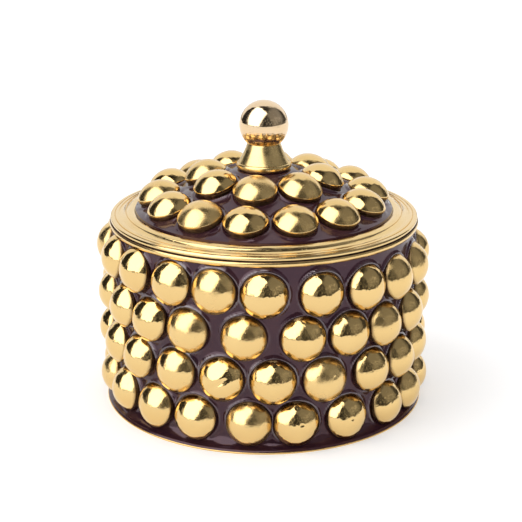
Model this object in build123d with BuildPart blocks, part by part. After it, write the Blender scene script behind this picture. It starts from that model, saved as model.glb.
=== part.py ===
from build123d import *
import os
from math import asin, atan2, cos, degrees, radians, sin, sqrt, tan

# Sindoor box: a turned brass pot with a lift-off lid, both clad in dark lac
# that is set by hand with pressed brass domes. Millimetres, +Z up, origin at
# the centre of the underside, the side that faces the viewer is -Y.

# Pressed brass dome: a shallow round cap on a straight skirt, whose upper
# part stands out of the lac
stud_diameter = 6.1
stud_rise = 2.7
stud_edge = 0.7
stud_bury = 0.6
stud_clearance = 0.03

# Wall of the pot, from the outside in
lac_radius = 22.3
lac_thickness = 1.6
cup_wall = 1.0
cup_floor = 1.2

# Foot plate under the pot, and the lac that flares down to it
base_thickness = 0.5
base_overhang = 1.7
flare_inset = 0.2

# Rows of domes on the wall, counted from the rim down
row_count = 4
row_gap = 0.2
foot_margin = 0.3
rim_margin = 0.95

# Flat ring on the mouth of the pot
rim_thickness = 0.75
rim_overhang = 0.55
rim_crown = 0.08

# Domes of each row that face the viewer: the first one's angle from -Y, how
# far the row drops towards +X, and the gap before each next dome. They are
# pressed in by hand, so the gaps vary. The back is filled evenly.
least_gap = 0.1
even_gap = 0.5
wall_rows = (
    (-69.5, 0.8, (0.3, 0.75, 0.1, 0.45, 1.45, 0.75, 0.1, 0.75)),
    (-61.5, 0.75, (0.3, 0.15, 1.6, 1.6, 0.55, 0.1, 0.95)),
    (-68.0, 0.6, (0.15, 0.8, 0.55, 0.7, 0.8, 1.3, 0.4, 0.55)),
    (-60.8, 0.4, (0.75, 0.45, 1.25, 0.15, 1.1, 1.25, 0.1)),
)

# Turned ring round the lid
ring_inset = 0.1
ring_width = 3.75
ring_edge_height = 0.6
ring_face_drop = 0.75
ring_inner_height = 1.6
bead_width = 1.3
bead_height = 0.45
groove_depth = 0.12
groove_width = 0.18
edge_bead = 0.25

# Spun shell under the lid's lac, and the collar that drops into the mouth
flange_thickness = 0.5
flange_lap = 1.95
flange_clearance = 0.05
shell_thickness = 0.6
collar_thickness = 0.8
collar_depth = 2.5
mouth_clearance = 0.25

# Crown of lac on the lid
crown_lac_thickness = 1.1
crown_edge_height = 1.5
crown_rise = 5.65
crown_margin = 0.55
crown_row_gap = 0.7
knob_row_margin = 1.25

# Rows of domes on the crown, from the outside in: the angle of one dome from
# -Y, and the least gap between two
crown_rows = (
    (-9.4, 0.5),
    (-8.5, 0.2),
)

# Turned knob with a shank through the shell
knob_ball_radius = 3.63
knob_neck_radius = 2.6
knob_neck_height = 3.99
knob_foot_radius = 4.05
knob_lip_height = 1.05
knob_lip_round = 0.3
knob_seat_margin = 0.25
knob_spigot_radius = 3.0
knob_shank_radius = 1.5
shank_clearance = 0.05
shank_tail = 0.4
washer_radius = 3.2
washer_thickness = 0.5
nut_across_flats = 4.6
nut_thickness = 1.6

# Heights of the pot that follow from the rows
stud_radius = stud_diameter / 2
pocket_radius = stud_radius + stud_clearance
row_pitch = stud_diameter + row_gap
lac_top = base_thickness + foot_margin + row_count * row_pitch + rim_margin
seat_height = lac_top + rim_thickness
top_row_height = lac_top - rim_margin - stud_radius

# Radii that follow from the wall
base_radius = lac_radius + base_overhang
cup_radius = lac_radius - lac_thickness
mouth_radius = cup_radius - cup_wall
rim_radius = lac_radius + rim_overhang
ring_radius = rim_radius - ring_inset
crown_radius = ring_radius - ring_width
flange_radius = crown_radius + flange_lap
collar_radius = mouth_radius - mouth_clearance

# Slope of the crown, and its surfaces measured square to that slope. The room
# that the domes leave on it is shared among the margins of their rows.
crown_top_radius = knob_foot_radius + knob_seat_margin
crown_margins = crown_margin + crown_row_gap * (len(crown_rows) - 1) + knob_row_margin
crown_spare = crown_radius - crown_top_radius - len(crown_rows) * stud_diameter
crown_ease = crown_spare / crown_margins
crown_edge = seat_height + crown_edge_height
crown_top = crown_edge + crown_rise
crown_slope = atan2(crown_rise, crown_radius - crown_top_radius)
shell_drop = crown_lac_thickness / cos(crown_slope)
hollow_drop = (crown_lac_thickness + shell_thickness) / cos(crown_slope)


def crown_height(radius, drop=0.0):
    """Height of the crown at a radius, or of a surface that far below it."""
    return crown_edge + (crown_radius - radius) * tan(crown_slope) - drop


def crown_radius_at(height, drop=0.0):
    """Radius where the crown, or a surface below it, has a height."""
    return crown_radius - (height + drop - crown_edge) / tan(crown_slope)


def step_for(gap, radius):
    """Angle from one dome to the next when their pockets lie a gap apart."""
    return 2 * degrees(asin((pocket_radius + gap / 2) / radius))


def ring_of_angles(start, gaps, spare_gap, radius):
    """Angles of a full row: hand-set gaps first, then even ones."""
    angles = [start]
    for gap in gaps:
        angles.append(angles[-1] + step_for(max(gap, least_gap), radius))
    rest = 360 - (angles[-1] - start)
    spaces = int(rest / step_for(spare_gap, radius))
    return angles + [angles[-1] + rest * k / spaces for k in range(1, spaces)]


def wall_seat(angle, height):
    """Plane at the bottom of a pocket in the wall, facing outwards."""
    outward = Vector(0, -1, 0).rotate(Axis.Z, angle)
    along = Vector(1, 0, 0).rotate(Axis.Z, angle)
    floor = lac_radius - stud_bury
    return Plane(outward * floor + Vector(0, 0, height), x_dir=along, z_dir=outward)


def crown_seat(angle, radius):
    """Plane at the bottom of a pocket in the crown, square to the slope."""
    outward = Vector(0, -1, 0).rotate(Axis.Z, angle)
    along = Vector(1, 0, 0).rotate(Axis.Z, angle)
    square = outward * sin(crown_slope) + Vector(0, 0, cos(crown_slope))
    surface = outward * radius + Vector(0, 0, crown_height(radius))
    return Plane(surface - square * stud_bury, x_dir=along, z_dir=square)


wall_seats = []
for row, (start, drop, gaps) in enumerate(wall_rows):
    height = top_row_height - row * row_pitch
    angles = ring_of_angles(start, gaps, even_gap, lac_radius - stud_bury)
    wall_seats.append([wall_seat(a, height - drop * sin(radians(a))) for a in angles])

crown_seats = []
for row, (start, spare_gap) in enumerate(crown_rows):
    radius = crown_radius - crown_margin * crown_ease - stud_radius
    radius -= row * (stud_diameter + crown_row_gap * crown_ease)
    angles = ring_of_angles(start, (), spare_gap, radius)
    crown_seats.append([crown_seat(a, radius) for a in angles])

os.makedirs("parts", exist_ok=True)

# Foot plate: a thin brass disc whose edge shows as a bright line
with BuildPart() as base_plate:
    Cylinder(base_radius, base_thickness, align=(Align.CENTER, Align.CENTER, Align.MIN))
    chamfer(base_plate.edges().group_by(Axis.Z)[-1], base_thickness / 5)
base_plate.part.label = "base_plate"
export_step(base_plate.part, "parts/base_plate.step")

# Turned cup that holds the powder
with BuildPart() as inner_cup:
    with BuildSketch(Plane.XY.offset(base_thickness)):
        Circle(cup_radius)
    extrude(amount=lac_top - base_thickness)
    with BuildSketch(Plane.XY.offset(base_thickness + cup_floor)):
        Circle(mouth_radius)
    extrude(amount=lac_top - base_thickness - cup_floor, mode=Mode.SUBTRACT)
    floor_edge = inner_cup.edges().filter_by(GeomType.CIRCLE).group_by(Axis.Z)[1]
    fillet(floor_edge, cup_wall)
inner_cup.part.label = "inner_cup"
export_step(inner_cup.part, "parts/inner_cup.step")

# Flat ring soldered on the cup, its outer edge turned slightly round
with BuildPart() as rim_ring:
    with BuildSketch(Plane.XZ):
        with BuildLine():
            Polyline(
                (rim_radius, lac_top),
                (mouth_radius, lac_top),
                (mouth_radius, seat_height),
                (rim_radius, seat_height),
            )
            ThreePointArc(
                (rim_radius, seat_height),
                (rim_radius + rim_crown, (lac_top + seat_height) / 2),
                (rim_radius, lac_top),
            )
        make_face()
    revolve(axis=Axis.Z)
rim_ring.part.label = "rim_ring"
export_step(rim_ring.part, "parts/rim_ring.step")

# One pressed dome, standing on the bottom of its pocket
cap_rise = stud_rise - stud_edge
skirt_top = stud_bury + stud_edge
dome_radius = (stud_radius**2 + cap_rise**2) / (2 * cap_rise)
dome_centre = stud_bury + stud_rise - dome_radius
half_turn = asin(stud_radius / dome_radius) / 2
with BuildPart() as stud:
    with BuildSketch(Plane.XZ):
        with BuildLine():
            Polyline((0, stud_bury + stud_rise), (0, 0), (stud_radius, 0), (stud_radius, skirt_top))
            ThreePointArc(
                (stud_radius, skirt_top),
                (dome_radius * sin(half_turn), dome_centre + dome_radius * cos(half_turn)),
                (0, stud_bury + stud_rise),
            )
        make_face()
    revolve(axis=Axis.Z)

# Rows of domes on the wall, one piece per row
for number, seats in enumerate(wall_seats, start=1):
    with BuildPart() as studs_row:
        with Locations(*seats):
            add(stud.part)
    studs_row.part.label = f"studs_row_{number}"
    export_step(studs_row.part, f"parts/studs_row_{number}.step")

# Rows of domes on the crown
for name, seats in zip(("lid_studs_outer", "lid_studs_inner"), crown_seats):
    with BuildPart() as lid_studs:
        with Locations(*seats):
            add(stud.part)
    lid_studs.part.label = name
    export_step(lid_studs.part, f"parts/{name}.step")

# Lac round the cup, flared at the foot, with a flat-bottomed pocket per dome
with BuildPart() as lac_band:
    with BuildSketch(Plane.XZ):
        with BuildLine():
            foot = base_radius - flare_inset
            flare = foot - lac_radius
            Polyline(
                (foot, base_thickness),
                (cup_radius, base_thickness),
                (cup_radius, lac_top),
                (lac_radius, lac_top),
                (lac_radius, base_thickness + flare),
            )
            CenterArc((foot, base_thickness + flare), flare, start_angle=180, arc_size=90)
        make_face()
    revolve(axis=Axis.Z)
    with Locations(*[seat for seats in wall_seats for seat in seats]):
        Cylinder(
            pocket_radius,
            stud_bury + stud_rise,
            align=(Align.CENTER, Align.CENTER, Align.MIN),
            mode=Mode.SUBTRACT,
        )
lac_band.part.label = "lac_band"
export_step(lac_band.part, "parts/lac_band.step")

# Turned ring of the lid: edge bead, groove, hollow face, groove, inner bead
with BuildPart() as lid_ring:
    with BuildSketch(Plane.XZ):
        with BuildLine():
            edge_top = seat_height + ring_edge_height
            face_outer = ring_radius - groove_width - edge_bead
            face_inner = crown_radius + bead_width
            face_top = edge_top + ring_face_drop
            bead_top = seat_height + ring_inner_height
            Polyline(
                (crown_radius, bead_top),
                (crown_radius, seat_height + flange_thickness),
                (flange_radius + flange_clearance, seat_height + flange_thickness),
                (flange_radius + flange_clearance, seat_height),
                (ring_radius - edge_bead, seat_height),
            )
            ThreePointArc(
                (ring_radius - edge_bead, seat_height),
                (ring_radius, seat_height + ring_edge_height / 2),
                (ring_radius - edge_bead, edge_top),
            )
            Polyline(
                (ring_radius - edge_bead, edge_top),
                (face_outer, edge_top - groove_depth),
                (face_outer, edge_top),
            )
            ThreePointArc(
                (face_outer, edge_top),
                (
                    (face_outer + face_inner) / 2,
                    (edge_top + face_top) / 2 - groove_depth,
                ),
                (face_inner + groove_width, face_top),
            )
            Line((face_inner + groove_width, face_top), (face_inner, face_top - groove_depth))
            ThreePointArc(
                (face_inner, face_top - groove_depth),
                (crown_radius + bead_width / 2, bead_top + bead_height),
                (crown_radius, bead_top),
            )
        make_face()
    revolve(axis=Axis.Z)
lid_ring.part.label = "lid_ring"
export_step(lid_ring.part, "parts/lid_ring.step")

# Spun shell: flange under the ring, cone below the lac, flat hub at the knob
with BuildPart() as lid_shell:
    with BuildSketch(Plane.XZ):
        hub_top = crown_height(crown_top_radius, shell_drop)
        hub_bottom = crown_height(crown_top_radius, hollow_drop)
        flange_top = seat_height + flange_thickness
        shank_hole = knob_shank_radius + shank_clearance
        with BuildLine():
            Polyline(
                (shank_hole, hub_top),
                (crown_top_radius, hub_top),
                (crown_radius_at(flange_top, shell_drop), flange_top),
                (flange_radius, flange_top),
                (flange_radius, seat_height),
                (crown_radius_at(seat_height, hollow_drop), seat_height),
                (crown_top_radius, hub_bottom),
                (shank_hole, hub_bottom),
                close=True,
            )
        make_face()
    revolve(axis=Axis.Z)
lid_shell.part.label = "lid_shell"
export_step(lid_shell.part, "parts/lid_shell.step")

# Collar soldered under the flange, a loose fit in the mouth of the pot
with BuildPart() as lid_collar:
    with BuildSketch(Plane.XY.offset(seat_height)):
        Circle(collar_radius)
        Circle(collar_radius - collar_thickness, mode=Mode.SUBTRACT)
    extrude(amount=-collar_depth)
    lower_edges = lid_collar.edges().group_by(Axis.Z)[0]
    chamfer(lower_edges, mouth_clearance)
lid_collar.part.label = "lid_collar"
export_step(lid_collar.part, "parts/lid_collar.step")

# Crown of lac with a pocket per dome and a hole for the knob's spigot
with BuildPart() as lid_lac:
    with BuildSketch(Plane.XZ):
        spigot_hole = knob_spigot_radius + shank_clearance
        with BuildLine():
            Polyline(
                (spigot_hole, crown_top),
                (crown_top_radius, crown_top),
                (crown_radius, crown_edge),
                (crown_radius, flange_top),
                (crown_radius_at(flange_top, shell_drop), flange_top),
                (crown_top_radius, hub_top),
                (spigot_hole, hub_top),
                close=True,
            )
        make_face()
    revolve(axis=Axis.Z)
    with Locations(*[seat for seats in crown_seats for seat in seats]):
        Cylinder(
            pocket_radius,
            stud_bury + stud_rise,
            align=(Align.CENTER, Align.CENTER, Align.MIN),
            mode=Mode.SUBTRACT,
        )
lid_lac.part.label = "lid_lac"
export_step(lid_lac.part, "parts/lid_lac.step")

# Turned knob: ball, neck, flared foot with a lip, spigot and shank
lip_top = crown_top + knob_lip_height
neck_top = lip_top + knob_neck_height - knob_lip_height
ball_centre = neck_top + sqrt(knob_ball_radius**2 - knob_neck_radius**2)
shank_end = hub_bottom - washer_thickness - nut_thickness - shank_tail
with BuildPart() as knob:
    with BuildSketch(Plane.XZ):
        with BuildLine():
            Polyline(
                (0, ball_centre + knob_ball_radius),
                (0, shank_end),
                (knob_shank_radius, shank_end),
                (knob_shank_radius, hub_top),
                (knob_spigot_radius, hub_top),
                (knob_spigot_radius, crown_top),
                (knob_foot_radius - knob_lip_round, crown_top),
            )
            ThreePointArc(
                (knob_foot_radius - knob_lip_round, crown_top),
                (knob_foot_radius, crown_top + knob_lip_height / 2),
                (knob_foot_radius - knob_lip_round, lip_top),
            )
            Line((knob_foot_radius - knob_lip_round, lip_top), (knob_neck_radius, neck_top))
            ThreePointArc(
                (knob_neck_radius, neck_top),
                (knob_ball_radius, ball_centre),
                (0, ball_centre + knob_ball_radius),
            )
        make_face()
    revolve(axis=Axis.Z)
knob.part.label = "knob"
export_step(knob.part, "parts/knob.step")

# Washer and nut that hold the knob from below
with BuildPart() as knob_washer:
    with BuildSketch(Plane.XY.offset(hub_bottom)):
        Circle(washer_radius)
        Circle(knob_shank_radius + shank_clearance, mode=Mode.SUBTRACT)
    extrude(amount=-washer_thickness)
knob_washer.part.label = "knob_washer"
export_step(knob_washer.part, "parts/knob_washer.step")

with BuildPart() as knob_nut:
    with BuildSketch(Plane.XY.offset(hub_bottom - washer_thickness)):
        RegularPolygon(nut_across_flats / 2, side_count=6, major_radius=False)
        Circle(knob_shank_radius + shank_clearance, mode=Mode.SUBTRACT)
    extrude(amount=-nut_thickness)
knob_nut.part.label = "knob_nut"
export_step(knob_nut.part, "parts/knob_nut.step")

stud_total = sum(len(seats) for seats in wall_seats + crown_seats)
print("height", round(ball_centre + knob_ball_radius, 2))
print("width over domes", round(2 * (lac_radius + stud_rise), 2))
print("domes", stud_total, "in rows of", [len(seats) for seats in wall_seats + crown_seats])
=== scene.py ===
# %% [markdown]
# # A small powder box in brass and lac
# The box is a turned brass pot with a lift-off lid. Both are coated with dark
# lac while it is warm and soft, and about a hundred pressed brass domes are
# pushed into the lac by hand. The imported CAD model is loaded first, as a frame
# that never moves. Every piece made here stands exactly where its solid is.

# %% Load the frame
import math
import random

import bmesh
import bpy
import numpy as np
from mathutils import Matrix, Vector


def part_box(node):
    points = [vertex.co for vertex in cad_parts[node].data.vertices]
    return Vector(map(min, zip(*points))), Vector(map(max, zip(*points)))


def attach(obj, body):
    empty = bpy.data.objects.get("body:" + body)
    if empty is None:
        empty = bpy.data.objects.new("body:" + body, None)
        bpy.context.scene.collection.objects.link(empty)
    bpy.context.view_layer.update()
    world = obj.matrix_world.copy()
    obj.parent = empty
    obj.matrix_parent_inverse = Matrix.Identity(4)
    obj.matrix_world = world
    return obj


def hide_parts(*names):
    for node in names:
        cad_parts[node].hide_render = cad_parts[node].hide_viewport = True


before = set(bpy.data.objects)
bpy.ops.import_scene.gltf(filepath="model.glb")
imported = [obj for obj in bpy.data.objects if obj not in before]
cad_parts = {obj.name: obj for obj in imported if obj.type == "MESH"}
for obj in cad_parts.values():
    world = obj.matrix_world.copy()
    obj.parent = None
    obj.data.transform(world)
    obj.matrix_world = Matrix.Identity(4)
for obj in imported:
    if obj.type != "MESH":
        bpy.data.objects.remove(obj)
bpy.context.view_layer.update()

MM = 0.001
scene = bpy.context.scene
scene.view_settings.view_transform = "Standard"
print("the frame has", len(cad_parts), "nodes")

# %% [markdown]
# ## The viewpoint
# The photograph looks down on the box by about eighteen degrees from close by,
# which shows the domes, the turned ring and the crown at once. A long lens at
# that distance gives the same slight narrowing towards the foot. The position
# comes from fitting the ellipses of the foot, the rim and the lid.

# %% Place the camera
eye = Vector((-0.43, -197.85, 85.58)) * MM
aim = Vector((-0.43, 0.0, 20.42)) * MM
camera = bpy.data.objects.new("camera", bpy.data.cameras.new("camera"))
camera.data.sensor_width = 36.0
camera.data.lens = 95.4
camera.data.clip_start = 0.01
camera.location = eye
camera.rotation_euler = (aim - eye).to_track_quat("-Z", "Y").to_euler()
scene.collection.objects.link(camera)
scene.camera = camera
print("the camera is", round((aim - eye).length, 3), "m away")

# %% [markdown]
# ## Writing finishes as sums
# A finish is a small graph of nodes. Adding every node by hand hides what the
# graph means, so one class wraps a socket, and ordinary sums on it add Math
# nodes. `1 - mask` then reads as it would on paper. Every other kind of node
# comes from one method, which takes the settings first and the sockets next.

# %% One class for node sums
class Wire:
    """The output of a node, which can be added, multiplied and passed on."""

    def __init__(self, tree, out=None):
        self.tree, self.out = tree, out

    def node(self, kind, settings=None, values=None, out=0):
        """Adds a node: its settings come first, then its sockets."""
        new = self.tree.nodes.new(kind)
        for name, value in (settings or {}).items():
            setattr(new, name, value)
        for name, value in (values or {}).items():
            if isinstance(value, Wire):
                self.tree.links.new(value.out, new.inputs[name])
            else:
                new.inputs[name].default_value = value
        return Wire(self.tree, new.outputs[out] if len(new.outputs) else None)

    def output(self, name):
        """Another output of the same node."""
        return Wire(self.tree, self.out.node.outputs[name])

    def math(self, operation, *values):
        """One Math node. The values are its sockets, in their order."""
        return self.node("ShaderNodeMath", {"operation": operation}, dict(enumerate(values)))

    def __add__(self, other):
        return self.math("ADD", self, other)

    def __radd__(self, other):
        return self.math("ADD", other, self)

    def __sub__(self, other):
        return self.math("SUBTRACT", self, other)

    def __rsub__(self, other):
        return self.math("SUBTRACT", other, self)

    def __mul__(self, other):
        return self.math("MULTIPLY", self, other)

    def __rmul__(self, other):
        return self.math("MULTIPLY", other, self)

    def __truediv__(self, other):
        return self.math("DIVIDE", self, other)

    def __abs__(self):
        return self.math("ABSOLUTE", self)

    def between(self, low, high):
        """0 below low, 1 above high, and a soft step from one to the other."""
        settings = {"interpolation_type": "SMOOTHSTEP"}
        values = {"Value": self, "From Min": low, "From Max": high}
        return self.node("ShaderNodeMapRange", settings, values)

    def blend(self, first, second):
        """The first colour where this is 0, the second one where it is 1."""
        settings = {"data_type": "RGBA"}
        values = {0: self, 6: first, 7: second}
        return self.node("ShaderNodeMix", settings, values, out=2)

    def dot(self, direction):
        """How far this vector reaches along a fixed direction."""
        settings = {"operation": "DOT_PRODUCT"}
        return self.node("ShaderNodeVectorMath", settings, {0: self, 1: direction}, out=1)


def new_finish(name):
    """An empty material and the start of its node sums."""
    material = bpy.data.materials.new(name)
    material.use_nodes = True
    material.node_tree.nodes.clear()
    return material, Wire(material.node_tree)


print("sums on a Wire add nodes")

# %% [markdown]
# ## The studio
# Polished brass has hardly any colour of its own. What it shows is the room:
# a white table below, a white backdrop behind, a dark room on the viewer's
# side, and a large soft lamp up on the left. Lamps alone would leave the domes
# empty, so the sky that glossy rays see is drawn as that room. The lamp's left
# and right sides are soft, as on a lamp behind cloth, and a mottled clutter in
# the dark room keeps the shaded side of a dome from looking painted. The viewer
# sees plain white, and everything matt gets an even soft light.

# %% Directions and lamps in the sky
def towards(azimuth, elevation):
    """A direction: azimuth 0 is the viewer's side, and 90 is to the right."""
    a, e = math.radians(azimuth), math.radians(elevation)
    return Vector((math.sin(a) * math.cos(e), -math.cos(a) * math.cos(e), math.sin(e)))


def soft_lamp(sky, azimuth, elevation, width, height, top_edge, side_edge):
    """1 where a square lamp stands in the sky. Sizes are tangents of angles."""
    ahead = towards(azimuth, elevation)
    across = towards(azimuth + 90, 0)
    upward = ahead.cross(across)
    depth = sky.dot(ahead).math("MAXIMUM", sky.dot(ahead), 0.01)
    frame_side = abs(sky.dot(across) / depth)
    frame_top = abs(sky.dot(upward) / depth)
    inside = (width / 2 - frame_side).between(-side_edge, side_edge)
    inside = inside * (height / 2 - frame_top).between(-top_edge, top_edge)
    return inside * sky.dot(ahead).between(0.02, 0.1)


print("the viewer is towards", tuple(round(part, 2) for part in towards(0, 18)))

# %% Draw the room that the brass reflects
world = bpy.data.worlds.new("studio")
world.use_nodes = True
world.node_tree.nodes.clear()
scene.world = world
start = Wire(world.node_tree)
sky = start.node("ShaderNodeTexCoord", out="Generated")
height_up = sky.dot((0, 0, 1))
to_right = sky.dot((1, 0, 0))

over_table = height_up.between(0.02, 0.05)
backdrop = soft_lamp(sky, azimuth=180, elevation=0, width=2.2, height=7.0,
                     top_edge=0.04, side_edge=0.04)
key_lamp = soft_lamp(sky, azimuth=-51, elevation=43, width=1.35, height=1.76,
                     top_edge=0.03, side_edge=0.13)
grey_wall = soft_lamp(sky, azimuth=75, elevation=38, width=1.3, height=1.2,
                      top_edge=0.2, side_edge=0.2)
mottled = sky.node("ShaderNodeTexNoise", {"noise_dimensions": "3D"}, {
    "Vector": sky, "Scale": 9.0, "Detail": 3.0, "Roughness": 0.6,
})
shelves = mottled.between(0.50, 0.66)
in_front = (0.1 - sky.dot((0, 1, 0))).between(-0.1, 0.1)
below_ceiling = (0.75 - height_up).between(0.0, 0.3)

DARK_ROOM, ROOM_TO_RIGHT, CLUTTER = 0.025, 0.03, 0.4
BACKDROP, KEY_LAMP, GREY_WALL = 1.05, 2.9, 0.2
room = DARK_ROOM + ROOM_TO_RIGHT * to_right.between(-0.2, 0.6)
clutter = shelves * in_front * below_ceiling * CLUTTER
lamps = backdrop * BACKDROP + key_lamp * KEY_LAMP + grey_wall * GREY_WALL
shown = room + over_table * (lamps + clutter)

rays = start.node("ShaderNodeLightPath")
seen_by_eye = rays.output("Is Camera Ray")
seen_by_gloss = rays.output("Is Glossy Ray")
SOFT_LEVEL = 0.86
level = SOFT_LEVEL + seen_by_gloss * (shown - SOFT_LEVEL)
level = level + seen_by_eye * (1.0 - level)
glow = start.node("ShaderNodeBackground", None, {"Color": level, "Strength": 1.0})
start.node("ShaderNodeOutputWorld", None, {"Surface": glow})
print("the room has", len(world.node_tree.nodes), "nodes")

# %% [markdown]
# ## Soft daylight and the table
# One wide lamp from the upper left gives the pale shadow on the right of the
# box. Its own disc is hidden from the brass, because the drawn room already
# holds the square lamp. The table is a plain white board that keeps the shadow.
# It glows a little in what the eye and the brass see, which keeps it white.

# %% Add the lamp
sun = bpy.data.objects.new("soft_sun", bpy.data.lights.new("soft_sun", "SUN"))
SUN_STRENGTH, SUN_WIDTH = 0.7, 42
sun.data.energy = SUN_STRENGTH
sun.data.angle = math.radians(SUN_WIDTH)
sun.visible_glossy = False
sun.rotation_euler = towards(-72, 48).to_track_quat("Z", "Y").to_euler()
scene.collection.objects.link(sun)
print("the lamp is", SUN_WIDTH, "degrees wide")

# %% Add the table
table_half = 2.0
table_mesh = bpy.data.meshes.new("table")
table_mesh.from_pydata(
    [(-table_half, -table_half, 0), (table_half, -table_half, 0),
     (table_half, table_half, 0), (-table_half, table_half, 0)],
    [], [(0, 1, 2, 3)],
)
table = bpy.data.objects.new("table", table_mesh)
scene.collection.objects.link(table)

board, start = new_finish("white_board")
rays = start.node("ShaderNodeLightPath")
eye_ray = rays.output("Is Camera Ray")
gloss_ray = rays.output("Is Glossy Ray")
glass_ray = rays.output("Is Transmission Ray")
seen_or_mirrored = eye_ray.math("MAXIMUM", eye_ray, gloss_ray)
looked_at = eye_ray.math("MAXIMUM", seen_or_mirrored, glass_ray)
BOARD_WHITE, BOARD_GLOW = (0.93, 0.93, 0.94, 1), 0.25
paint = start.node("ShaderNodeBsdfPrincipled", None, {
    "Base Color": BOARD_WHITE, "Roughness": 1.0, "Specular IOR Level": 0.0,
    "Emission Color": looked_at, "Emission Strength": BOARD_GLOW,
})
start.node("ShaderNodeOutputMaterial", None, {"Surface": paint})
table_mesh.materials.append(board)
print("the table is", 2 * table_half, "m wide")

# %% [markdown]
# ## Brass finishes
# Brass is a yellow metal whose colour comes only from its reflection, so the
# shader is fully metallic and the base colour is what white looks like in it.
# Real brass is never even: fingers leave duller smears and a lathe leaves fine
# rings. These are written as masks that change the roughness, the colour and a
# very fine bump. Painted shade turns the brass brown round the foot of each
# dome, following the attribute "rise", and a painted shadow line darkens the
# seam under the lid, kept to the outer edge, so that the top of the rim keeps
# its own colour. The cone under the knob's ball is brushed, where the ball itself
# is polished, and its colour holds a painted reflection of the gold domes below.

# %% Tones and masks of brass
PALE_BRASS = (0.78, 0.55, 0.235, 1)
DEEP_BRASS = (0.70, 0.465, 0.19, 1)
ROSE_BRASS = (0.79, 0.60, 0.39, 1)
RING_BRASS = (0.77, 0.56, 0.26, 1)
# A painted reflection: the gold that the knob's cone shows of the domes below it.
PAINTED_REFLECTION_GOLD = (0.72, 0.52, 0.23, 1)
# Painted shade: the brown that darkens the foot of each dome and the seam under the lid.
PAINTED_SHADE_BROWN = (0.10, 0.055, 0.035, 1)


def speckle(place, size, detail=2.0, roughness=0.5):
    """Soft random patches of a given size in metres, from 0 to 1."""
    return place.node("ShaderNodeTexNoise", {"noise_dimensions": "3D"}, {
        "Vector": place, "Scale": 1 / size, "Detail": detail, "Roughness": roughness,
    })


def off_axis(place):
    """How far a point is from the upright axis, and how high it is."""
    split = place.node("ShaderNodeSeparateXYZ", None, {"Vector": place})
    x, y, z = (split.output(axis) for axis in "XYZ")
    return place.math("SQRT", x * x + y * y), z


def turning_rings(place, pitch):
    """Fine rings left by the cutting tool, round the upright axis."""
    across, z = off_axis(place)
    wander = speckle(place, 4 * MM) * (pitch * 1.2)
    turn = (across + z * 0.6 + wander) * (2 * math.pi / pitch)
    return turn.math("SINE", turn) * 0.5 + 0.5


print("polished brass reflects", PALE_BRASS[:3])

# %% A recipe for brass
seat_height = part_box("lid_ring")[0].z
seam_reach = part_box("lid_ring")[1].x - 0.35 * MM


def brass(name, gloss, rings=0.0, pitch=None, painted_foot_shade=False, shade=0.25,
          seam=None, cone=None, tone=PALE_BRASS, dents=0.3):
    """A metal finish: gloss is its roughness where it is cleanest.

    pitch is how far apart the turning rings are, where a piece has rings, seam
    is the height of a painted shadow line, and below the height cone the metal is
    brushed instead of polished, with a painted reflection of gold in its colour."""
    material, start = new_finish(name)
    place = start.node("ShaderNodeTexCoord", out="Object")
    touch = speckle(place, 2.6 * MM, 4.0, 0.6).between(0.42, 0.72)
    fine = speckle(place, 0.16 * MM, 2.0, 0.6)
    cloud = speckle(place, 7 * MM, 3.0, 0.6).between(0.35, 0.7)
    pits = speckle(place, 0.45 * MM, 1.0).between(0.74, 0.8)
    dimple = speckle(place, 0.8 * MM, 2.0, 0.4)
    colour = (cloud * shade).blend(tone, DEEP_BRASS)
    rough = gloss + touch * 0.10 + pits * 0.2
    height = fine * 0.04 + touch * 0.04 + dimple * dents - pits * 0.4
    if rings:
        lines = turning_rings(place, pitch) * (0.55 + 0.45 * speckle(place, 1.5 * MM))
        height = height + lines * rings
        rough = rough + lines * 0.05
    # Painted shade: the brass turns brown and rougher round the foot of each dome, where the
    # attribute rise is low.
    if painted_foot_shade:
        wear = start.node("ShaderNodeAttribute", {"attribute_name": "wear"}, out="Fac")
        rough = rough + wear * 0.16
        rise = start.node("ShaderNodeAttribute", {"attribute_name": "rise"}, out="Fac")
        patchy = speckle(place, 0.9 * MM, 3.0)
        foot_shade_mask = 1 - (rise + patchy * 0.16).between(0.34, 0.50)
        foot_shade_mask = foot_shade_mask * (0.55 + 0.45 * patchy.between(0.35, 0.6))
        colour = (foot_shade_mask * 0.85).blend(colour, PAINTED_SHADE_BROWN)
        rough = rough + foot_shade_mask * 0.3
    # Below the cone height the metal is brushed and rougher, and its colour is a painted
    # reflection of the gold domes below.
    if cone is not None:
        brushed_with_painted_reflection = 1 - off_axis(place)[1].between(cone - 0.1 * MM, cone + 0.1 * MM)
        colour = brushed_with_painted_reflection.blend(colour, PAINTED_REFLECTION_GOLD)
        rough = rough + brushed_with_painted_reflection * 0.13
    # Painted shadow: a dark brown line along the seam under the lid, on its outer edge, and
    # rougher there.
    if seam is not None:
        across, height_here = off_axis(place)
        gap = 1 - abs(height_here - seam).between(0.05 * MM, 0.13 * MM)
        gap = gap * across.between(seam_reach - 0.15 * MM, seam_reach)
        colour = gap.blend(colour, PAINTED_SHADE_BROWN)
        rough = rough + gap * 0.4
    bump = start.node("ShaderNodeBump", None, {
        "Strength": 0.5, "Distance": 0.03 * MM, "Height": height,
    })
    metal = start.node("ShaderNodeBsdfPrincipled", None, {
        "Base Color": colour, "Metallic": 1.0, "Roughness": rough, "Normal": bump,
    })
    start.node("ShaderNodeOutputMaterial", None, {"Surface": metal})
    return material


print("the seam is", round(seat_height / MM, 2), "mm up")

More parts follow.
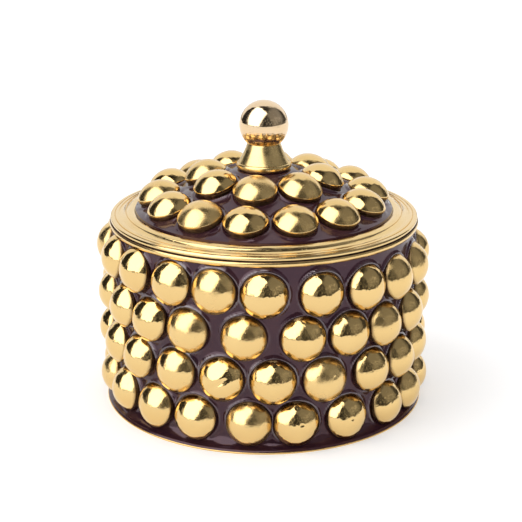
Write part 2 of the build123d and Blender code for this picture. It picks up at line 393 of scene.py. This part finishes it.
# %% Mix the brass finishes
dome_brass = brass("pressed_dome_brass", 0.075, painted_foot_shade=True, dents=3.5)
lid_dome_brass = brass("handled_dome_brass", 0.095, painted_foot_shade=True, dents=2.5)
ring_brass = brass("turned_ring_brass", 0.11, rings=0.5, pitch=0.26 * MM,
                   seam=seat_height, tone=RING_BRASS)
rim_brass = brass("turned_rim_brass", 0.14, rings=0.2, pitch=0.25 * MM, seam=seat_height)
cone_height = 3.99 * MM
knob_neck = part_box("lid_lac")[1].z + cone_height
knob_brass = brass("turned_knob_brass", 0.09, rings=0.22, pitch=0.20 * MM,
                   tone=ROSE_BRASS, cone=knob_neck)
cup_brass = brass("turned_cup_brass", 0.26, rings=0.4, pitch=0.42 * MM, shade=0.6)
spun_brass = brass("spun_shell_brass", 0.30, rings=0.35, pitch=0.5 * MM, shade=0.7)
foot_brass = brass("foot_plate_brass", 0.20, rings=0.2, pitch=0.3 * MM)
print("mixed", len(bpy.data.materials), "materials so far")

# %% [markdown]
# ## Lac
# Lac is a dark natural resin, melted on in sticks and smoothed with a warm
# tool. It is glossy like varnish and brown with a touch of purple. Where it is
# thin or worn the colour is warmer, and tiny waves stay in its surface. The
# tall lips round the domes shine more than the rest, so they get a glossier
# coat, which follows the attribute "lip" that is written when the lac is laid.

# %% Mix the lac
DARK_LAC = (0.032, 0.011, 0.019, 1)
WARM_LAC = (0.050, 0.019, 0.023, 1)
LAC_DUST = (0.13, 0.08, 0.075, 1)
LAC_SHEEN = (1.0, 0.72, 0.82, 1)


def lac_finish(name):
    """Glossy dark resin with dust, slow waves and shining lips."""
    material, start = new_finish(name)
    place = start.node("ShaderNodeTexCoord", out="Object")
    cloud = speckle(place, 3.5 * MM, 3.0, 0.6)
    wave = speckle(place, 1.1 * MM, 2.0, 0.5)
    dust = speckle(place, 0.28 * MM, 2.0, 0.7)
    lip = start.node("ShaderNodeAttribute", {"attribute_name": "lip"}, out="Fac")
    colour = cloud.between(0.35, 0.7).blend(DARK_LAC, WARM_LAC)
    colour = (dust.between(0.66, 0.8) * 0.4).blend(colour, LAC_DUST)
    rough = 0.07 + 0.12 * cloud.between(0.4, 0.75) + 0.12 * dust.between(0.6, 0.8)
    bump = start.node("ShaderNodeBump", None, {
        "Strength": 0.45, "Distance": 0.05 * MM, "Height": wave + dust * 0.15,
    })
    resin = start.node("ShaderNodeBsdfPrincipled", None, {
        "Base Color": colour, "Roughness": rough, "Normal": bump,
        "IOR": 1.5, "Specular Tint": LAC_SHEEN,
        "Coat Weight": lip, "Coat IOR": 2.0, "Coat Roughness": 0.09,
    })
    start.node("ShaderNodeOutputMaterial", None, {"Surface": resin})
    return material


lac = lac_finish("dark_lac")
print("mixed the lac")

# %% [markdown]
# ## Turning on a lathe
# The foot, cup, rim, ring, collar, shell and knob are all turned, so they are
# made as a turner makes them: half a profile, carried round the upright axis.
# Corners get a tiny rounding, because no real edge is perfectly sharp and the
# rounding is what catches a line of light.

# %% Curves for a profile
def rounded(profile, size, steps=4):
    """Replaces each corner of a closed profile by a small curve."""
    out = []
    for k, corner in enumerate(profile):
        here = np.array(corner, float)
        before, after = np.array(profile[k - 1]), np.array(profile[(k + 1) % len(profile)])
        back, on = before - here, after - here
        back_length, on_length = np.linalg.norm(back), np.linalg.norm(on)
        turn = abs(back[0] * on[1] - back[1] * on[0]) / (back_length * on_length)
        if here[0] < 1e-9 or turn < 0.25:
            out.append(tuple(here))
            continue
        cut = min(size, back_length / 2.2, on_length / 2.2)
        first, last = here + back / back_length * cut, here + on / on_length * cut
        for t in np.linspace(0, 1, steps + 1):
            point = first * (1 - t) ** 2 + here * 2 * t * (1 - t) + last * t * t
            out.append(tuple(point))
    return out


def arc(centre, radius, first, last, steps):
    """Points on an arc in the profile, angles in degrees from outwards."""
    angles = np.radians(np.linspace(first, last, steps + 1))
    x, y = centre
    return [(x + radius * math.cos(a), y + radius * math.sin(a)) for a in angles]


def sag(first, last, depth, steps):
    """Points of a shallow curve that leaves the straight line by depth.

    A positive depth bows to the right of the way from first to last."""
    first, last = np.array(first), np.array(last)
    side = np.array((last[1] - first[1], first[0] - last[0]))
    side = side / np.linalg.norm(side)
    return [tuple(first + (last - first) * t + side * depth * 4 * t * (1 - t))
            for t in np.linspace(0, 1, steps + 1)]


print("a quarter round in 8 steps has", len(arc((0, 0), 1, 0, 90, 8)), "points")

# %% A lathe for profiles
def turned(name, profile, finish, segments=256, crease=35):
    """Carries a closed profile of (radius, height) in metres round the axis."""
    profile = [p for k, p in enumerate(profile)
               if math.dist(p, profile[k - 1]) > 1e-7 or k == 0]
    mesh = bpy.data.meshes.new(name)
    work = bmesh.new()
    rings = []
    for radius, height in profile:
        if radius < 1e-9:
            rings.append([work.verts.new((0, 0, height))] * segments)
            continue
        rings.append([
            work.verts.new((radius * math.cos(a), radius * math.sin(a), height))
            for a in (2 * math.pi * k / segments for k in range(segments))
        ])
    for k, ring in enumerate(rings):
        below = rings[k - 1]
        if ring[0] is ring[1] and below[0] is below[1]:
            continue
        for s in range(segments):
            t = (s + 1) % segments
            corners = [below[s], below[t], ring[t], ring[s]]
            corners = [v for n, v in enumerate(corners) if v is not corners[n - 1]]
            work.faces.new(corners)
    bmesh.ops.recalc_face_normals(work, faces=work.faces)
    work.to_mesh(mesh)
    work.free()
    mesh.shade_smooth()
    mesh.set_sharp_from_angle(angle=math.radians(crease))
    mesh.materials.append(finish)
    piece = bpy.data.objects.new(name, mesh)
    scene.collection.objects.link(piece)
    print(name, len(mesh.polygons), "faces")
    return piece


def hand_over(piece, body, slot, *nodes):
    """A finished piece rides on a body and stands for its solids."""
    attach(piece, body)
    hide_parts(*nodes)


def reach(node):
    """Largest radius, lowest height and highest height of a solid."""
    low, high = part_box(node)
    return high.x, low.z, high.z


print("the foot plate reaches", round(reach("base_plate")[0] / MM, 2), "mm out")

# %% [markdown]
# ## Foot plate, cup and rim
# The foot plate shows as a bright line under the lac. The cup behind the lac
# is what holds the powder, and it shows only when the lid is off. The rim is a
# flat ring soldered on the cup. Its slightly round edge is the bright line
# under the lid.

# %% Turn the foot plate
foot_radius, foot_low, foot_high = reach("base_plate")
foot_edge = foot_low + 0.26 * MM
foot_plate = turned("foot_plate", rounded([
    (0, foot_low), (foot_radius, foot_low), (foot_radius, foot_edge),
    (foot_radius - 0.35 * MM, foot_edge), (foot_radius - 0.45 * MM, foot_high), (0, foot_high),
], 0.08 * MM), foot_brass)
hand_over(foot_plate, "pot", "brass_base", "base_plate")

# %% Turn the cup
cup_radius, cup_low, cup_high = reach("inner_cup")
mouth_radius = cup_radius - 1.0 * MM
cup_floor = cup_low + 1.2 * MM
cup_corner = 1.0 * MM
powder_cup = turned("powder_cup", [
    (0, cup_low), (cup_radius, cup_low), (cup_radius, cup_high), (mouth_radius, cup_high),
] + arc((mouth_radius - cup_corner, cup_floor + cup_corner), cup_corner, 0, -90, 8)
  + [(mouth_radius * t, cup_floor) for t in (0.75, 0.5, 0.25, 0.0)], cup_brass)
hand_over(powder_cup, "pot", "brass_cup", "inner_cup")

# %% Turn the rim
rim_radius, rim_low, rim_high = reach("rim_ring")
rim_side = rim_radius - 0.08 * MM
mouth_rim = turned("mouth_rim", [(mouth_radius, rim_low)]
    + sag((rim_side - 0.10 * MM, rim_low), (rim_side - 0.10 * MM, rim_high), 0.16 * MM, 10)
    + arc((mouth_radius + 0.15 * MM, rim_high - 0.15 * MM), 0.15 * MM, 90, 180, 5), rim_brass)
hand_over(mouth_rim, "pot", "brass_rim", "rim_ring")

# %% [markdown]
# ## The turned ring of the lid
# From the outside in the ring has a round edge, a fine groove, a narrow step, a
# wide hollow face, a second groove and a round bead against the lac. The hollow
# face was cut in many light passes, so it carries fine rings, which the finish
# adds. The grooves are real, because their shadow lines show from every side.

# %% Turn the ring
ring_radius, ring_low = reach("lid_ring")[:2]
flange_radius = reach("lid_shell")[0]
crown_radius, flange_top, crown_top = reach("lid_lac")
edge_round = 0.34 * MM
groove_width, groove_depth = 0.16 * MM, 0.11 * MM
edge_top = ring_low + 0.66 * MM
face_outer = ring_radius - 0.80 * MM
face_inner = crown_radius + 1.35 * MM
face_rise = 0.40 * MM
face_top = edge_top + face_rise
bead_foot = ring_low + 1.18 * MM
step_radius = face_outer - 0.45 * MM
flange_side = flange_radius + 0.05 * MM
edge_middle = (ring_radius - edge_round, ring_low + edge_round)

ring_profile = [(crown_radius, flange_top), (flange_side, flange_top),
                (flange_side, ring_low), (ring_radius - edge_round, ring_low)]
ring_profile += arc(edge_middle, edge_round, -65, 60, 12)
ring_profile += sag((face_outer + groove_width, edge_top), (face_outer, edge_top),
                    -groove_depth, 6)
ring_profile += sag((face_outer, edge_top + 0.02 * MM),
                    (step_radius, edge_top + 0.10 * MM), 0.03 * MM, 5)
ring_profile += sag((step_radius, edge_top + 0.03 * MM),
                    (face_inner + groove_width, face_top), -0.10 * MM, 20)
ring_profile += sag((face_inner + groove_width, face_top), (face_inner, face_top),
                    -groove_depth, 6)
ring_profile += sag((face_inner, face_top), (crown_radius, bead_foot), 0.20 * MM, 16)
lid_ring = turned("turned_lid_ring", ring_profile, ring_brass, segments=320, crease=28)
hand_over(lid_ring, "lid", "brass_ring", "lid_ring")

# %% [markdown]
# ## Under the lid
# A spun shell carries the lac of the crown, and a collar soldered under it
# drops into the mouth of the pot. A washer and a nut hold the knob. They are
# seen when the lid is lifted, so they get a finish of their own, duller than
# the outside.

# %% Measure the slope of the crown
knob_low, knob_high = reach("knob")[1:]
knob_foot_radius = 4.05 * MM
knob_seat_radius = knob_foot_radius + 0.25 * MM
crown_edge = ring_low + 1.5 * MM
slope = math.atan2(crown_top - crown_edge, crown_radius - knob_seat_radius)


def crown_height(radius, drop=0.0):
    """Height of the crown's lac at a radius, or of a face below it."""
    return crown_edge + (crown_radius - radius) * math.tan(slope) - drop


def crown_radius_at(height, drop):
    """Radius where a face below the crown's lac has a height."""
    return crown_radius - (height + drop - crown_edge) / math.tan(slope)


shell_drop = 1.1 * MM / math.cos(slope)
hollow_drop = 1.7 * MM / math.cos(slope)
hub_top = crown_height(knob_seat_radius, shell_drop)
hub_low = crown_height(knob_seat_radius, hollow_drop)
print("the crown slopes by", round(math.degrees(slope), 1), "degrees")

# %% Turn the shell
shank_hole = 1.55 * MM
spun_shell = turned("spun_shell", rounded([
    (shank_hole, hub_top), (knob_seat_radius, hub_top),
    (crown_radius_at(flange_top, shell_drop), flange_top), (flange_radius, flange_top),
    (flange_radius, ring_low), (crown_radius_at(ring_low, hollow_drop), ring_low),
    (knob_seat_radius, hub_low), (shank_hole, hub_low),
], 0.3 * MM), spun_brass)
hand_over(spun_shell, "lid", "brass_shell", "lid_shell")

# %% Turn the collar
collar_radius, collar_low, collar_high = reach("lid_collar")
collar_inner = collar_radius - 0.8 * MM
collar = turned("mouth_collar", rounded([
    (collar_inner, collar_high), (collar_radius, collar_high),
    (collar_radius, collar_low + 0.25 * MM), (collar_radius - 0.25 * MM, collar_low),
    (collar_inner + 0.25 * MM, collar_low), (collar_inner, collar_low + 0.25 * MM),
], 0.08 * MM), spun_brass)
hand_over(collar, "lid", "brass_shell", "lid_collar")

# %% [markdown]
# ## The knob
# The knob is one turned piece: a ball on a narrow neck, a foot that flares out
# to a rounded lip, and a shank through the lid. The crease between ball and
# neck and the small step over the lip are what give it its crisp look.

# %% Draw the knob's shank and lip
ball_radius = 3.63 * MM
neck_radius = 2.5 * MM
lip_top = crown_top + 1.05 * MM
ball_centre = knob_high - ball_radius
neck_top = ball_centre - (ball_radius ** 2 - neck_radius ** 2) ** 0.5
shank_radius = 1.5 * MM
crease_angle = -math.degrees(math.acos(neck_radius / ball_radius))
spigot_radius = 3.0 * MM
tail_chamfer = 0.2 * MM
knob_profile = [(0, knob_low), (shank_radius - tail_chamfer, knob_low),
                (shank_radius, knob_low + tail_chamfer), (shank_radius, hub_top),
                (spigot_radius, hub_top), (spigot_radius, crown_top)]

# The lip is rounded as a closed shape, and only its outer side is kept.
lip_shape = rounded([
    (0.5 * knob_foot_radius, crown_top), (knob_foot_radius - 0.25 * MM, crown_top),
    (knob_foot_radius, crown_top + 0.30 * MM),
    (knob_foot_radius - 0.02 * MM, lip_top - 0.22 * MM),
    (knob_foot_radius - 0.22 * MM, lip_top), (0.5 * knob_foot_radius, lip_top),
], 0.16 * MM)
corner_points = 5
knob_profile += lip_shape[corner_points:-corner_points]
print("the ball of the knob is", round(2 * ball_radius / MM, 2), "mm across")

# %% Turn the knob
knob_profile += sag((knob_foot_radius - 0.28 * MM, lip_top + 0.02 * MM),
                    (neck_radius - 0.04 * MM, neck_top - 0.10 * MM), -0.10 * MM, 14)
knob_profile += [(neck_radius - 0.12 * MM, neck_top)]
knob_profile += arc((0, ball_centre), ball_radius, crease_angle, 90, 40)
knob_profile[-1] = (0, knob_high)
turned_knob = turned("turned_knob", knob_profile, knob_brass, segments=160, crease=28)
hand_over(turned_knob, "lid", "brass_knob", "knob")

# %% Turn the washer and dress the nut
washer_radius, washer_low, washer_high = reach("knob_washer")
washer = turned("knob_washer_disc", rounded([
    (shank_hole, washer_high), (washer_radius, washer_high),
    (washer_radius, washer_low), (shank_hole, washer_low),
], 0.1 * MM), spun_brass, segments=96)
hand_over(washer, "lid", "brass_knob", "knob_washer")

nut_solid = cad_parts["knob_nut"]
nut_solid.data.materials.clear()
nut_solid.data.materials.append(spun_brass)
print("the nut keeps its CAD solid, in", spun_brass.name)

# %% [markdown]
# ## Where the domes sit
# The CAD model says where every dome is, so nothing is placed by eye. Each
# row is one group of separate solids. Its points are sorted into those solids,
# and each solid gives a foot, a direction, a radius and a height.

# %% Sort points into solids
WALL_ROWS = [f"studs_row_{number}" for number in range(1, 5)]
LID_ROWS = ["lid_studs_outer", "lid_studs_inner"]


def separate_solids(node):
    """The points of each separate solid in one CAD node."""
    work = bmesh.new()
    work.from_mesh(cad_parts[node].data)
    bmesh.ops.remove_doubles(work, verts=work.verts, dist=0.001 * MM)
    waiting, solids = set(work.verts), []
    while waiting:
        front, found = [waiting.pop()], []
        while front:
            vert = front.pop()
            found.append(vert.co[:])
            for edge in vert.link_edges:
                other = edge.other_vert(vert)
                if other in waiting:
                    waiting.discard(other)
                    front.append(other)
        solids.append(np.array(found))
    work.free()
    return solids


print("row 1 has", len(separate_solids(WALL_ROWS[0])), "separate solids")

# %% Measure the seat of each dome
def dome_seats(node, lean):
    """Foot, outward direction, radius and height of each dome, by angle."""
    seats = []
    for points in separate_solids(node):
        middle = (points.max(0) + points.min(0)) / 2
        angle = math.degrees(math.atan2(middle[0], -middle[1]))
        outward = np.array(towards(angle, math.degrees(lean)))
        side = np.array(towards(angle + 90, 0))
        steep = np.cross(outward, side)
        along = points @ outward
        foot = outward * along.min()
        for line in (side, steep):
            reach_line = points @ line
            foot = foot + line * (reach_line.max() + reach_line.min()) / 2
        wide = points @ side
        seats.append({
            "angle": angle, "foot": foot, "out": outward, "side": side, "steep": steep,
            "radius": (wide.max() - wide.min()) / 2, "height": along.max() - along.min(),
        })
    return sorted(seats, key=lambda seat: seat["angle"])


seats = {row: dome_seats(row, 0.0) for row in WALL_ROWS}
seats.update({row: dome_seats(row, math.pi / 2 - slope) for row in LID_ROWS})
all_seats = [seat for row in seats.values() for seat in row]
first_radius = round(all_seats[0]["radius"] / MM, 2)
print("found", len(all_seats), "domes, the first is", first_radius, "mm in radius")

# %% [markdown]
# ## Pressed domes
# A dome is punched from thin sheet over a round tool. It isn't a perfect ball:
# each one leans a little, and its sheet has shallow flat spots, which bend the
# lamp's reflection differently in every dome. It is widest just above the lac
# and draws in below, and it never reaches its neighbour. One dome in the third
# row was hit and has a crease, and a few have small pits. The lid's domes are
# handled most, so they are duller, and they get less painted shade round their
# feet.

# %% Rings of a dome
SKIRT = 0.6 * MM
UNDERCUT = 0.10
UNDER_STEPS = 6
WIDEST_HEIGHT = 0.7 * MM


def dome_levels(radius, rise, edge, ball, up):
    """Radius and height of each ring of points, from the foot to the top."""
    levels = [(radius * (1 - UNDERCUT), 0.0)]
    for step in range(UNDER_STEPS + 1):
        t = step / UNDER_STEPS
        drawn_in = 1 - UNDERCUT * (1 - t) ** 1.6
        levels.append((radius * drawn_in, SKIRT * 0.6 + (SKIRT * 0.4 + edge) * t))
    shoulder = len(levels)
    widest = math.asin(min(radius / ball, 1.0))
    for step in range(1, up + 1):
        polar = widest * (1 - step / up)
        levels.append((ball * math.sin(polar), SKIRT + rise - ball * (1 - math.cos(polar))))
    (skirt_end, skirt_height), (cap_start, cap_height) = levels[shoulder - 1:shoulder + 1]
    levels[shoulder] = ((cap_start + skirt_end) / 2 + 0.01 * MM,
                        (cap_height + skirt_height) / 2)
    return levels[:-1] + [(0.0, SKIRT + rise)]


print("a dome is widest about", round((SKIRT + WIDEST_HEIGHT) / MM, 2), "mm from its foot")

# %% Flat spots, blows and pits
def flat_spots(outward, flats):
    """How deep the shallow flat spots push the sheet in, in one direction."""
    deep = 0.0
    for spin, tip, wide, depth in flats:
        s, t = math.radians(spin), math.radians(tip)
        spot = np.array((math.sin(t) * math.cos(s), math.sin(t) * math.sin(s), math.cos(t)))
        away = math.acos(max(-1.0, min(1.0, float(outward @ spot))))
        deep += depth * math.exp(-(away / wide) ** 2)
    return deep


def struck(seat, point, radius):
    """How deep a blow or a pit pushes the sheet in at a point."""
    deep = 0.0
    for turn, offset, long, wide, depth in seat.get("marks", ()):
        c, s = math.cos(math.radians(turn)), math.sin(math.radians(turn))
        x, y = point[0] / radius, point[1] / radius
        along, across = c * x + s * y - offset[0], c * y - s * x - offset[1]
        deep += depth * math.exp(-(along / long) ** 2 - (across / wide) ** 2)
    return deep


def mark_dome(row, angle, *marks):
    """Puts marks on the dome of a row that is nearest to an angle.

    A mark is its turn, its place and its two sizes in radii, and its depth."""
    nearest = min(seats[row], key=lambda seat: abs(seat["angle"] - angle))
    nearest["marks"] = nearest.get("marks", ()) + marks


crease_hollow = (35, (0.0, -0.08), 0.50, 0.13, 0.13 * MM)
crease_ridge = (28, (0.1, 0.14), 0.45, 0.14, -0.05 * MM)
PIT_DEPTH = 0.08 * MM
mark_dome("studs_row_3", -12, crease_hollow, crease_ridge)
mark_dome("studs_row_3", 26, (0, (0.25, 0.2), 0.06, 0.06, PIT_DEPTH))
mark_dome("studs_row_4", 14, (0, (0.1, 0.1), 0.07, 0.06, PIT_DEPTH))
mark_dome("studs_row_4", 33, (0, (-0.1, 0.0), 0.06, 0.07, PIT_DEPTH))
print("marked", sum("marks" in seat for seat in all_seats), "domes")

# %% Points of a dome
draw = random.Random(45)
SWELL = 1.07
DENTS_FROM = SKIRT * 1.01


def dome_points(seat, around, up, upward):
    """A grid of points on the dome, its rise from 0 to 1, and its ring count."""
    radius = min(seat["radius"] * SWELL * draw.uniform(0.98, 1.0), seat["room"])
    seat["wide"] = radius
    rise = (seat["height"] - SKIRT) * draw.uniform(0.96, 0.99)
    edge = rise * draw.uniform(0.24, 0.30)
    cap = rise - edge
    ball = (radius ** 2 + cap ** 2) / (2 * cap)
    flats = [(draw.uniform(0, 360), draw.uniform(15, 65), draw.uniform(0.35, 0.7),
              draw.uniform(0.01, 0.045) * MM) for _ in range(4)]
    sideways = draw.gauss(0, 0.02)
    tilt = math.radians(upward + draw.uniform(-2.5, 2.5))
    levels = dome_levels(radius, rise, edge, ball, up)
    grid, rises = [], []
    for out_radius, height in levels:
        for k in range(around):
            turn = 2 * math.pi * k / around
            point = np.array((out_radius * math.cos(turn), out_radius * math.sin(turn), height))
            if height > DENTS_FROM:
                outward = point - np.array((0, 0, SKIRT + rise - ball))
                outward = outward / np.linalg.norm(outward)
                dent = flat_spots(outward, flats) + struck(seat, point, radius)
                point = point - outward * dent * min(1.0, (height - SKIRT) / (0.5 * rise))
            x, y, z = point[0] + sideways * height, point[1], point[2] - SKIRT
            grid.append((x, y * math.cos(tilt) + z * math.sin(tilt),
                         SKIRT + z * math.cos(tilt) - y * math.sin(tilt)))
            rises.append(max(0.0, (height - SKIRT) / rise))
    return grid, rises, len(levels)


def make_room(rows, height):
    """Each dome may be as wide as half the way to its nearest neighbour."""
    row_seats = [seat for row in rows for seat in seats[row]]
    middles = np.array([seat["foot"] + seat["out"] * height for seat in row_seats])
    for seat, middle in zip(row_seats, middles):
        ways = np.sort(np.linalg.norm(middles - middle, axis=1))
        seat["room"] = ways[1] / 2 - 0.02 * MM


make_room(WALL_ROWS, SKIRT + WIDEST_HEIGHT)
make_room(LID_ROWS, SKIRT + WIDEST_HEIGHT)
least_room = min(seat["room"] for seat in all_seats)
print("a dome may reach at least", round(least_room / MM, 2), "mm from its middle")

# %% Press the domes
def press_row(row, body, metal, upward, foot_shade_lift):
    """Makes all the domes of one row as one piece of separate solids.

    upward leans every dome that many degrees, and the last argument is added to
    the attribute rise, which thins the painted shade round the foot of each dome."""
    name = row + "_domes"
    points, faces, rises, wears = [], [], [], []
    for seat in seats[row]:
        around, up = (112, 44) if "marks" in seat else (56, 20)
        grid, rise, levels = dome_points(seat, around, up, upward)
        first = len(points)
        for x, y, z in grid:
            points.append(
                seat["foot"] + seat["side"] * x + seat["steep"] * y + seat["out"] * z)
        rises += [share + foot_shade_lift for share in rise]
        wear = draw.random() ** 2
        wears += [wear] * len(rise)
        top = first + (levels - 1) * around
        for level in range(levels - 1):
            for k in range(around):
                ring_start = first + level * around
                a, b = ring_start + k, ring_start + (k + 1) % around
                if level == levels - 2:
                    faces.append((a, b, top))
                else:
                    faces.append((a, b, b + around, a + around))
        faces.append(tuple(first + k for k in reversed(range(around))))
    mesh = bpy.data.meshes.new(name)
    mesh.from_pydata([tuple(p) for p in points], [], faces)
    for label, values in (("rise", rises), ("wear", wears)):
        layer = mesh.attributes.new(label, "FLOAT", "POINT")
        layer.data.foreach_set("value", np.array(values, np.float32))
    work = bmesh.new()
    work.from_mesh(mesh)
    loose = [vert for vert in work.verts if not vert.link_faces]
    bmesh.ops.delete(work, geom=loose, context="VERTS")
    bmesh.ops.recalc_face_normals(work, faces=work.faces)
    work.to_mesh(mesh)
    work.free()
    mesh.shade_smooth()
    mesh.set_sharp_from_angle(angle=math.radians(50))
    mesh.materials.append(metal)
    piece = bpy.data.objects.new(name, mesh)
    scene.collection.objects.link(piece)
    hand_over(piece, body, "brass_studs", row)
    print(name, len(seats[row]), "domes,", len(mesh.polygons), "faces")


for row in WALL_ROWS:
    press_row(row, "pot", dome_brass, upward=8.0, foot_shade_lift=0.0)
for row in LID_ROWS:
    press_row(row, "lid", lid_dome_brass, upward=5.0, foot_shade_lift=0.13)

# %% [markdown]
# ## The coat of lac
# When a dome is pressed into warm lac, the lac rises round it in a small lip
# and shrinks back from the metal as it cools. The coat is turned like the
# other pieces, with many fine steps, and then its outer face is pushed in and
# out: a lip round every dome, and slow waves from the smoothing tool.

# %% Lips and waves of the lac
LIP_AWAY, LIP_WIDTH = 0.16 * MM, 0.26 * MM
LIP_SHINES_FROM = 0.22 * MM
WAVES = 10


def lac_lips(points, row_seats):
    """How far the lac stands up at each point, in metres."""
    lift = np.zeros(len(points))
    for seat in row_seats:
        gap = points - seat["foot"]
        near = np.linalg.norm(gap, axis=1) < 2.4 * seat["radius"]
        gap = gap[near]
        away = gap - np.outer(gap @ seat["out"], seat["out"])
        distance = np.linalg.norm(away, axis=1) - seat["wide"]
        turn = np.arctan2(away @ seat["steep"], away @ seat["side"])
        tall = draw.uniform(0.24, 0.42) * MM
        uneven = 0.8 + 0.35 * np.sin(turn) + 0.2 * np.sin(turn * 2 + draw.uniform(0, 6.3))
        uneven += 0.15 * np.sin(3 * turn + draw.uniform(0, 6.3))
        lip = tall * uneven * np.exp(-((distance - LIP_AWAY) / LIP_WIDTH) ** 2)
        lift[near] = np.maximum(lift[near], lip)
    return lift


def slow_waves(points, size, depth, seed):
    """Gentle random waves on a surface, the same every time."""
    rng = np.random.default_rng(seed)
    total = np.zeros(len(points))
    for _ in range(WAVES):
        direction = rng.normal(size=3)
        direction /= np.linalg.norm(direction)
        length = size * rng.uniform(0.6, 1.6)
        phase = rng.uniform(0, 6.3)
        total += np.sin(points @ direction * 2 * math.pi / length + phase)
    return total * depth / WAVES ** 0.5


print("a lip stands", round(LIP_AWAY / MM, 2), "mm away from its dome")

# %% Shape a coat of lac
def fade(distance, over=0.5 * MM):
    """0 at an edge of the coat, and 1 from a little way inside it."""
    return np.clip(distance / over, 0, 1)


def lay_lac(name, profile, moved, lean, rows, body, node, segments):
    """Turns a coat of lac and shapes the part of its profile that shows."""
    piece = turned(name, profile, lac, segments=segments, crease=60)
    mesh = piece.data
    points = np.empty(len(mesh.vertices) * 3, np.float32)
    mesh.vertices.foreach_get("co", points)
    points = points.reshape(-1, 3).astype(float)
    radius = np.maximum(np.hypot(points[:, 0], points[:, 1]), 1e-9)
    outward = np.stack([points[:, 0] / radius * math.cos(lean),
                        points[:, 1] / radius * math.cos(lean),
                        np.full(len(points), math.sin(lean))], axis=1)
    weight = moved(radius, points[:, 2])
    row_seats = [seat for row in rows for seat in seats[row]]
    lips = lac_lips(points, row_seats)
    shine = np.clip(lips * weight / LIP_SHINES_FROM - 0.8, 0, 1)
    layer = mesh.attributes.new("lip", "FLOAT", "POINT")
    layer.data.foreach_set("value", shine.astype(np.float32))
    lift = lips + slow_waves(points, size=5 * MM, depth=0.05 * MM, seed=7)
    points += outward * (lift * weight)[:, None]
    mesh.vertices.foreach_set("co", points.astype(np.float32).ravel())
    mesh.update()
    hand_over(piece, body, "lac", node)


band_radius = cup_radius + 1.6 * MM
band_low, band_high = reach("lac_band")[1:]
flare_edge = foot_radius - 0.08 * MM
flare = flare_edge - band_radius
print("the lac flares by", round(flare / MM, 2), "mm at the foot")

# %% Lay the lac on the wall
band_profile = [(flare_edge, foot_edge), (flare_edge - 0.2 * MM, foot_edge),
                (foot_radius - 0.48 * MM, band_low), (cup_radius, band_low),
                (cup_radius, band_high)]
band_profile += [(band_radius, z) for z in np.linspace(band_high, band_low + flare, 108)]
band_profile += arc((flare_edge, band_low + flare), flare, 180, 266, 12)
lay_lac(
    "lac_wall", band_profile,
    lambda r, z: np.where(r > band_radius - 0.01 * MM, 1.0, 0.0)
    * fade(z - band_low - 0.1 * MM, over=1.2 * MM) * fade(band_high - z),
    lean=0.0, rows=WALL_ROWS, body="pot", node="lac_band", segments=600)

# %% Lay the lac on the crown
spigot_hole = 3.05 * MM
steps = np.linspace(0, 1, 66)
crown_profile = [(spigot_hole, hub_top), (spigot_hole, crown_top - 0.02 * MM)]
crown_profile += [
    (knob_seat_radius + (crown_radius - knob_seat_radius) * t,
     crown_top - 0.02 * MM + (crown_edge - crown_top) * t) for t in steps
]
crown_profile += [(crown_radius, flange_top),
                  (crown_radius_at(flange_top, shell_drop), flange_top),
                  (knob_seat_radius, hub_top)]
lay_lac(
    "lac_crown", crown_profile,
    lambda r, z: np.where(z > crown_height(r) - 0.3 * MM, 1.0, 0.0)
    * fade(crown_radius - 0.05 * MM - r) * fade(r - knob_seat_radius),
    lean=math.pi / 2 - slope, rows=LID_ROWS, body="lid", node="lid_lac", segments=420)
